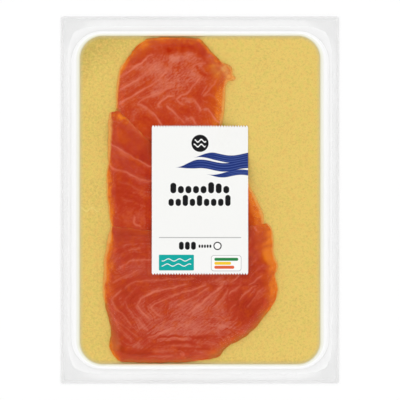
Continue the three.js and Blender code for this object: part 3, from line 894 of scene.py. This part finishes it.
def fish_finish(name):
    """Moist flesh with pale lines of fat, streaks along its bands and an orange rim."""
    colours = FLESH[name]
    finish = Finish(name + "_flesh", Roughness=0.45, Specular_IOR_Level=0.02, Coat_Weight=0.2,
                    Coat_Roughness=0.12)
    band = finish.value("band")
    streaks = finish.noise(1, 2, finish.vector(band * 6, finish.x * 0.04, finish.y * 0.04))
    along_strands = (finish.x * 0.8 + finish.y * 0.6) * colours["strand"]
    across_strands = finish.x * 0.62 - finish.y * 0.82
    fibres = finish.noise(1, 2, finish.vector(along_strands, across_strands, 0))
    blotches = finish.noise(9)
    patches = finish.noise(4)
    grain = finish.noise(1.3)
    mottle = finish.value("mottle") * 0.35 + 0.2
    tone = (finish.value("tone") + streaks * colours["streaks"] + fibres * mottle
            + blotches * 0.2 + grain * 0.2)
    rim = finish.value("rim")
    rim = rim + (streaks * 0.2 + blotches * 0.25 + grain * 0.15) * rim
    fat = finish.value("fat")
    finish.paint(finish.layered(colours["flesh"], [
        (tone, colours["pale"]),
        (tone * -1, colours["deep"]),
        (patches * 0.35, EMBER),
        (patches * -0.35, CRIMSON),
        (rim * 0.95, ORANGE),
        (rim.within(0.55, 1.2) * 0.9, BRIGHT_ORANGE),
        (fat * (streaks * 0.15 + 0.85), FAT),
        (finish.value("thin") * (grain * 0.2 + 0.85), THIN_EDGE),
        # Painted contact shadow along the flesh's edges
        (finish.value("edge_shadow"), EDGE_SHADOW_BROWN),
    ]))
    finish.bump(fat * -0.6 + streaks * 0.2 + grain * 0.2, 0.12)
    return finish.material


def make_slice(name, slice_, columns, rows, step=8):
    """One slice: its top as a fine grid, a thin edge and a coarse underside."""
    places = patch(slice_["sides"], crowded(columns + 1, 0.55), crowded(rows + 1, 0.55))
    x, y = places[..., 0], places[..., 1]
    depth = np.maximum(read(slice_["depth"], x, y), 0)
    depth[[0, -1]] = 0
    depth[:, [0, -1]] = 0
    uneven = [place + 0.3 * wander(x, y, 2.2, seed) for place, seed in ((x, 12), (y, 13))]
    values = fish_values(name, slice_, *uneven)
    foot, top = slice_heights(slice_, x, y, depth)
    top += np.clip(depth / 3, 0, 1) * (0.07 * wander(x, y, 3, 31) - 0.06 * values["fat"])
    # Cut flesh has a slightly ragged edge
    x, y = (place + 0.35 * wander(x, y, 4, seed) + 0.15 * wander(x, y, 1.4, seed + 2)
            for place, seed in ((x, 41), (y, 42)))

    top, foot = (np.dstack([x, y, height]) for height in (top, foot))
    points, groups, source = closed_skin(top, [edge_points(foot)], foot, step)
    held = {key: number.ravel()[source] for key, number in values.items()}
    return make_piece(name + "_fish", points, groups, [fish_finish(name)], [name],
                      values=held)


# Board

def board_finish():
    """Gold card with a fine grain and a paler band along its edge, and painted shade near its
    top and bottom ends, towards its top-left corner and towards its lower left.
    """
    finish = Finish("gold_card", Roughness=0.5, Metallic=0.15, Specular_IOR_Level=0.2)
    corner_x = (finish.x.size() - (BOARD[0] / 2 - BOARD_CORNER)).largest(0)
    corner_y = (finish.y.size() - (BOARD[1] / 2 - BOARD_CORNER)).largest(0)
    reach = (corner_x * corner_x + corner_y * corner_y).root()
    from_edge = (reach - BOARD_CORNER) * -1
    # Painted shade near the top and bottom ends
    ends = (finish.y.size() - BOARD[1] / 2).within(-3.5, -0.8) * 0.3
    speckle = finish.noise(0.9)
    flecks = finish.noise(1.6, 1)
    clouds = finish.noise(28)
    hues = finish.noise(3)
    # Painted shade towards the top-left corner and, faintly, towards the lower left
    corner = (finish.x * -0.5 + finish.y * 0.6).within(74, 96) * 0.5
    below = (finish.y * -0.5 - finish.x).within(-60, 60) * 0.06
    # Painted shade from the three above, with the card's own speckle, flecks and clouds
    shade = ends + corner + below + speckle * 0.25 + flecks * 0.16 + clouds * 0.05 + 0.04
    ripple = (finish.x * 0.9).sine() * 1.2 - 6
    crease = (finish.y - ripple).size().within(0.8, 0.2) * finish.x.within(-61, -65)
    finish.paint(finish.layered(GOLD, [
        (shade, GOLD_DARK),
        (hues * 0.3, GOLD_TINTS[0]),
        (hues * -0.3, GOLD_TINTS[1]),
        (crease * 0.5, GOLD_PALE),
        (from_edge.within(2.8, 0.2) * 0.6, GOLD_EDGE),
    ]))
    finish.bump(speckle, 0.02)
    return finish.material


def make_board():
    """The card, a slab with softly rounded edges."""
    columns, rows = 72, 96
    shares = np.linspace(0, 1, columns + 1), np.linspace(0, 1, rows + 1)
    low, high = BOARD_LOW[2], BOARD_HIGH[2]
    soft, bevel = 0.12, 0.03
    levels = [(soft, high), (bevel, high - bevel), (0, high - soft), (0, low + soft),
              (bevel, low + bevel), (soft, low)]
    grids = []
    for inset, height in levels:
        sides = rounded_sides(BOARD[0] - 2 * inset, BOARD[1] - 2 * inset, BOARD_CORNER - inset)
        flat = patch(sides, *shares)
        grids.append(np.dstack([flat, np.full(flat.shape[:2], height)]))
    points, groups, _ = closed_skin(grids[0], [edge_points(grid) for grid in grids[1:]], grids[-1])
    return make_piece("gold_board", points, groups, [board_finish()], ["board"])


# Film

# The lip, rise and fringe are near-white and mostly opaque: painted light of the sloped film round
# the board
FILM_FINISHES = {
    "film_clear": {"Base_Color": (0.02, 0.02, 0.02, 1), "Alpha": 0.05, "Roughness": 0.06},
    "film_lip": {"Alpha": 0.85, "Roughness": 0.2, "Specular_IOR_Level": 0.9},
    "film_rise": {"Base_Color": (1, 1, 1, 1), "Alpha": 0.9, "Roughness": 0.2,
                  "Specular_IOR_Level": 0.9},
    "film_fringe": {"Base_Color": (1, 1, 1, 1), "Alpha": 0.6, "Roughness": 0.2},
    "film_seal": {"Alpha": 0.25, "Roughness": 0.2},
    "film_cut_edge": {"Base_Color": (0.8, 0.8, 0.8, 1), "Alpha": 0.5, "Roughness": 0.4},
    "film_back": {"Base_Color": (1, 1, 1, 1), "Alpha": 0.02, "Roughness": 0.1},
}


def film_materials():
    """Clear film over the food; its rise round the board, painted cream and white as painted
    light, with a painted reflection of the flesh; the seal and the cut edge.
    """
    materials = []
    for name, sockets in FILM_FINISHES.items():
        finish = Finish(name, **sockets)
        finish.bump(finish.noise(3), 0.03)
        if name == "film_lip":
            # Painted light: the lip is cream near the board, fading to white up the rise
            beyond = finish.value("beyond")
            # Near the flesh the lip is painted pink, a painted reflection of the flesh
            layers = [(finish.value("fish_reflection"), LIP_TINTS[1]), (beyond.within(0, 0.8), LIP_FAR),
                      (beyond.within(0.8, 3), RISE_WHITE)]
            finish.paint(finish.layered(LIP_TINTS[0], layers))
        if name == "film_seal":
            finish.paint(finish.mix(finish.value("beyond").within(11.5, 7), *SEAL_TINTS))
        materials.append(finish.material)
    return materials


def film_levels(lip, shares):
    """Loops from the lip down the rise, over the seal and round the edge, and their finishes."""
    rise_steps, lip_steps, seal_steps, fringe_steps = 8, 4, 6, 2
    edge_width, edge_height = 0.1, 0.1

    def loop_of(width, length, corner, height):
        """The edge of a rounded rectangle at one height, in the order that edge_loop gives."""
        edge = edge_points(patch(rounded_sides(width, length, corner), *shares))
        return np.column_stack([edge, np.full(len(edge), height)])

    foot = loop_of(RING["width"], RING["length"], RING["corner"], SEAL_TOP)
    outer = loop_of(PACK[0] - 2 * edge_width, PACK[1] - 2 * edge_width, PACK_CORNER, SEAL_TOP)
    levels, finishes = [], []
    for part in range(1, rise_steps + 1):
        share = part / rise_steps
        ring = lip * (1 - share) + foot * share
        ring[:, 2] = foot[:, 2] + (lip[:, 2] - foot[:, 2]) * (1 - smoothstep(share))
        levels.append(ring)
        finishes.append("film_lip" if part <= lip_steps else "film_rise")
    for part in range(1, seal_steps + 1):
        levels.append(foot + (outer - foot) * part / seal_steps)
        finishes.append("film_fringe" if part <= fringe_steps else "film_seal")
    finishes[-1] = "film_cut_edge"
    for height in (SEAL_TOP - edge_height, 0.0):
        levels.append(loop_of(PACK[0], PACK[1], PACK_CORNER, height))
        finishes.append("film_cut_edge")
    return levels, finishes


def make_film(web, fish_depth):
    """One closed skin: the web over the food, the rise, the seal band, the edge and the back."""
    columns, rows, step, inset = 208, 280, 8, WEB["inset"]
    shares = np.linspace(0, 1, columns + 1), np.linspace(0, 1, rows + 1)
    lip = rounded_sides(BOARD[0] - 2 * inset, BOARD[1] - 2 * inset, BOARD_CORNER - inset)
    grid = patch(lip, *shares)
    top = np.dstack([grid, read(web, grid[..., 0], grid[..., 1])])
    levels, finishes = film_levels(edge_points(top), shares)
    sheet = patch(rounded_sides(PACK[0], PACK[1], PACK_CORNER), *shares)
    under = np.dstack([sheet, np.zeros(sheet.shape[:2])])
    points, groups, _ = closed_skin(top, levels, under, step)
    order = list(FILM_FINISHES)
    kinds = [order.index(name) for name in ("film_clear", *finishes, "film_back")]
    past_straight = [np.maximum(np.abs(points[:, axis]) - BOARD[axis] / 2 + BOARD_CORNER, 0)
                     for axis in (0, 1)]
    values = {"beyond": np.hypot(*past_straight) - BOARD_CORNER,
              # Where the rise lies near the flesh, for its painted reflection of the flesh
              "fish_reflection": smoothstep(read(fish_depth, points[:, 0], points[:, 1]), -3, -0.5)}
    return make_piece("film_skin", points, groups, film_materials(), ["film"], kinds,
                      values)


# Label

def box_shape(finish, low, high, corner):
    """1 inside a rounded box given by its low and high corners, and 0 outside it."""
    middle_x, middle_y = (low[0] + high[0]) / 2, (low[1] + high[1]) / 2
    half_x, half_y = (high[0] - low[0]) / 2, (high[1] - low[1]) / 2
    beyond_x = (finish.x - middle_x).size() - (half_x - corner)
    beyond_y = (finish.y - middle_y).size() - (half_y - corner)
    outside_x, outside_y = beyond_x.largest(0), beyond_y.largest(0)
    outside = (outside_x * outside_x + outside_y * outside_y).root()
    distance = outside + beyond_x.largest(beyond_y).smallest(0) - corner
    return distance.within(PRINT_EDGE, -PRINT_EDGE)


def disc_shape(finish, x, y, radius):
    across, up = finish.x - x, finish.y - y
    distance = (across * across + up * up).root()
    return distance.within(radius + PRINT_EDGE, radius - PRINT_EDGE)


def wave_shape(finish, height, swing, length, phase, thickness):
    """1 on a wavy stripe along the label."""
    middle = (finish.x * (2 * math.pi / length) + phase).sine() * swing + height
    half = thickness / 2
    return (finish.y - middle).size().within(half + PRINT_EDGE, half - PRINT_EDGE)


def stripe_shape(finish, height, left, phase, thickness):
    """A wavy stripe that starts as a point at its left and runs off the label's right."""
    middle = (finish.x * 0.21 + phase).sine() * 1.1 + height
    half = finish.x.within(left, left + 14) * (thickness / 2)
    stripe = ((finish.y - middle).size() - half).within(PRINT_EDGE, -PRINT_EDGE)
    return stripe * finish.x.within(left, left + 0.5)


def pill_row(finish, foot, left, pitch, width, heights):
    """A row of upright pills of one width, from left to right, each as tall as it says."""
    row = None
    for index, tall in enumerate(heights):
        start = left + index * pitch
        pill = box_shape(finish, (start, foot), (start + width, foot + tall), width / 2 - 0.01)
        row = pill if row is None else row.largest(pill)
    return row


def emblem(finish):
    """A dark disc with two pale waves."""
    upper, lower = (wave_shape(finish, height, 0.8, 4.4, 0.4, 0.9) for height in (37.2, 34.2))
    inner = disc_shape(finish, 0, 35.6, 4.0)
    return [(disc_shape(finish, 0, 35.6, 5.4), INK), (upper.largest(lower) * inner, WHITE)]


def blue_waves(finish):
    """Three blue stripes, each with three thin crests."""
    shapes = []
    for height, left, phase, thickness in ((26.8, -4, 0.6, 4.6), (21.6, -15.5, 1.5, 5.4),
                                           (16.4, 4, 2.4, 3.4)):
        shapes.append((stripe_shape(finish, height, left, phase, thickness), NAVY))
        for offset in (-0.3, 0, 0.3):
            crest = stripe_shape(finish, height + offset * thickness, left + 5, phase, 0.35)
            shapes.append((crest * 0.8, LIGHT_NAVY))
    return shapes


def rows_and_rule(finish):
    """Two rows of pills, a thin rule, and a last row that ends in a ring."""
    rows = [(4.2, -18.6, 4.75, 3.7, (6.6, 4.6, 4.6, 4.6, 4.6, 7, 6.2, 4.6)),
            (-3.8, -19.8, 4.45, 3.4, (4.6, 4.6, 7, 4.6, 6.8, 4.6, 4.6, 4.6, 7)),
            (-31.2, -13.2, 3.8, 3, (5, 5, 5)), (-30, -0.9, 1.7, 1.2, (2,) * 5)]
    rule = box_shape(finish, (-25.8, -23.85), (25.8, -23.3), 0.1)
    return [*((pill_row(finish, *row), INK) for row in rows), (rule * 0.7, RULE_GREY),
            (disc_shape(finish, 11, -28.8, 2.6), INK), (disc_shape(finish, 11, -28.8, 1.9), WHITE)]


def teal_panel(finish):
    """A teal panel with two pale waves."""
    upper, lower = (wave_shape(finish, height, 0.7, 7, phase, 0.5)
                    for height, phase in ((-37.6, 0.5), (-40.8, 1.2)))
    inner = box_shape(finish, (-24, -43.4), (-5.6, -35.2), 0.5)
    return [(box_shape(finish, (-25.8, -44.2), (-3.8, -34.3), 0.6), TEAL),
            (upper.largest(lower) * inner, WHITE)]


def framed_panel(finish):
    """A white panel in a thin frame, with three bars."""
    bars = ((-37.2, 24, GREEN), (-39.7, 19.5, YELLOW), (-42.2, 21.5, CORAL))
    return [(box_shape(finish, (6.9, -44.7), (26, -34.6), 1.8), FRAME_GREY),
            (box_shape(finish, (7.3, -44.3), (25.6, -35), 1.5), WHITE),
            *((box_shape(finish, (9, height - 0.95), (right, height + 0.95), 0.9), shade)
              for height, right, shade in bars)]


def label_finish():
    """White paper with a plain print: waves, pills, a rule and two small panels."""
    finish = Finish("label_paper", Roughness=0.55, Specular_IOR_Level=0.1)
    fibres = finish.noise(0.5)
    colour = finish.mix(fibres * 0.2 + 0.3, *PAPER_TINTS)
    for printed in (emblem, blue_waves, rows_and_rule, teal_panel, framed_panel):
        colour = finish.layered(colour, printed(finish))
    finish.paint(colour)
    finish.bump(fibres, 0.01)
    return finish.material


def make_label(lying):
    """The paper sheet with a row of pinked teeth along both ends."""
    teeth, depth = TEETH["count"], TEETH["depth"]
    columns, rows = teeth * 4 + 1, 217
    across, up = np.meshgrid(np.linspace(-1, 1, columns), np.linspace(-1, 1, rows))
    x = across * LABEL[0] / 2
    tooth = np.abs((across + 1) / 2 * teeth % 1 - 0.5) * 2
    end = LABEL[1] / 2
    near_end = smoothstep(np.abs(up) * end, end - 3 * depth, end)
    y = up * end - np.sign(up) * depth * tooth * near_end
    under = read(lying, x, y)
    top, back = np.dstack([x, y, under + PAPER]), np.dstack([x, y, under])
    points, groups, _ = closed_skin(top, [edge_points(back)], back)
    return make_piece("paper_label", points, groups, [label_finish()], ["label"])


# Camera, light and floor

def make_camera():
    """Looks straight down from afar, with 252 mm across the picture."""
    distance, sensor, across = 2.1, 36.0, 0.252
    data = bpy.data.cameras.new("camera")
    data.sensor_width = sensor
    data.lens = sensor * distance / across
    camera = add_object("camera", data)
    camera.location = (0, 0, distance)
    bpy.context.scene.camera = camera


def make_light():
    """An even white sky, dimmer overhead so that the film mirrors little."""
    world = bpy.data.worlds.new("studio")
    world.use_nodes = True
    tree = world.node_tree
    split = add_node(tree, "SeparateXYZ", {0: add_node(tree, "TexCoord").outputs["Generated"]})
    ramp = add_node(tree, "ValToRGB", {"Fac": split.outputs["Z"]})
    stops = ((0.0, 1.0), (0.3, 1.35), (0.75, 1.45), (0.9, 0.7), (0.97, 0.1), (1.0, 0.03))
    elements = ramp.color_ramp.elements
    for index, (place, strength) in enumerate(stops):
        element = elements[index] if index < 2 else elements.new(place)
        element.position = place
        element.color = (strength, strength, strength, 1)
    background = tree.nodes["Background"]
    feed(background.inputs["Color"], ramp.outputs["Color"])
    feed(background.inputs["Strength"], 0.97)
    bpy.context.scene.world = world


def make_floor():
    """A plain white floor just under the pack."""
    half, gap = 8, 0.2 * MM
    mesh = bpy.data.meshes.new("floor")
    corners = [(-half, -half, -gap), (half, -half, -gap), (half, half, -gap), (-half, half, -gap)]
    mesh.from_pydata(corners, [], [(0, 1, 2, 3)])
    finish = Finish("floor_white", Base_Color=(0.95, 0.95, 0.95, 1), Roughness=1.0,
                    Specular_IOR_Level=0.0)
    add_object("floor", mesh, finish.material)


bpy.context.scene.view_settings.view_transform = "Standard"
make_camera()
make_light()
make_floor()

slices = prepare_slices()
pile = slices["slice_lower"]["top"]
free_web = blurred(tented(pile, WEB["slope"], WEB["reach"]), WEB["blur"]) + WEB["clearance"]
highest = highest_around(np.maximum(pile, BED), LABEL_DRAPE["reach"])
resting = mean_around(highest, LABEL_DRAPE["blur"])
lying = np.maximum(resting + GAP, free_web + LABEL_DRAPE["over_web"])
beyond = np.hypot(np.maximum(np.abs(GRID_X) - LABEL[0] / 2, 0),
                  np.maximum(np.abs(GRID_Y) - LABEL[1] / 2, 0))
under_label = smoothstep(beyond, 5, 0.5)
web = free_web + (lying - LABEL_DRAPE["web_below"] - free_web) * under_label

make_slice("slice_upper", slices["slice_upper"], 208, 256)
make_slice("slice_middle", slices["slice_middle"], 232, 232)
make_slice("slice_lower", slices["slice_lower"], 272, 216)
make_board()
make_film(web, np.maximum.reduce([slice_["depth"] for slice_ in slices.values()]))
make_label(lying)
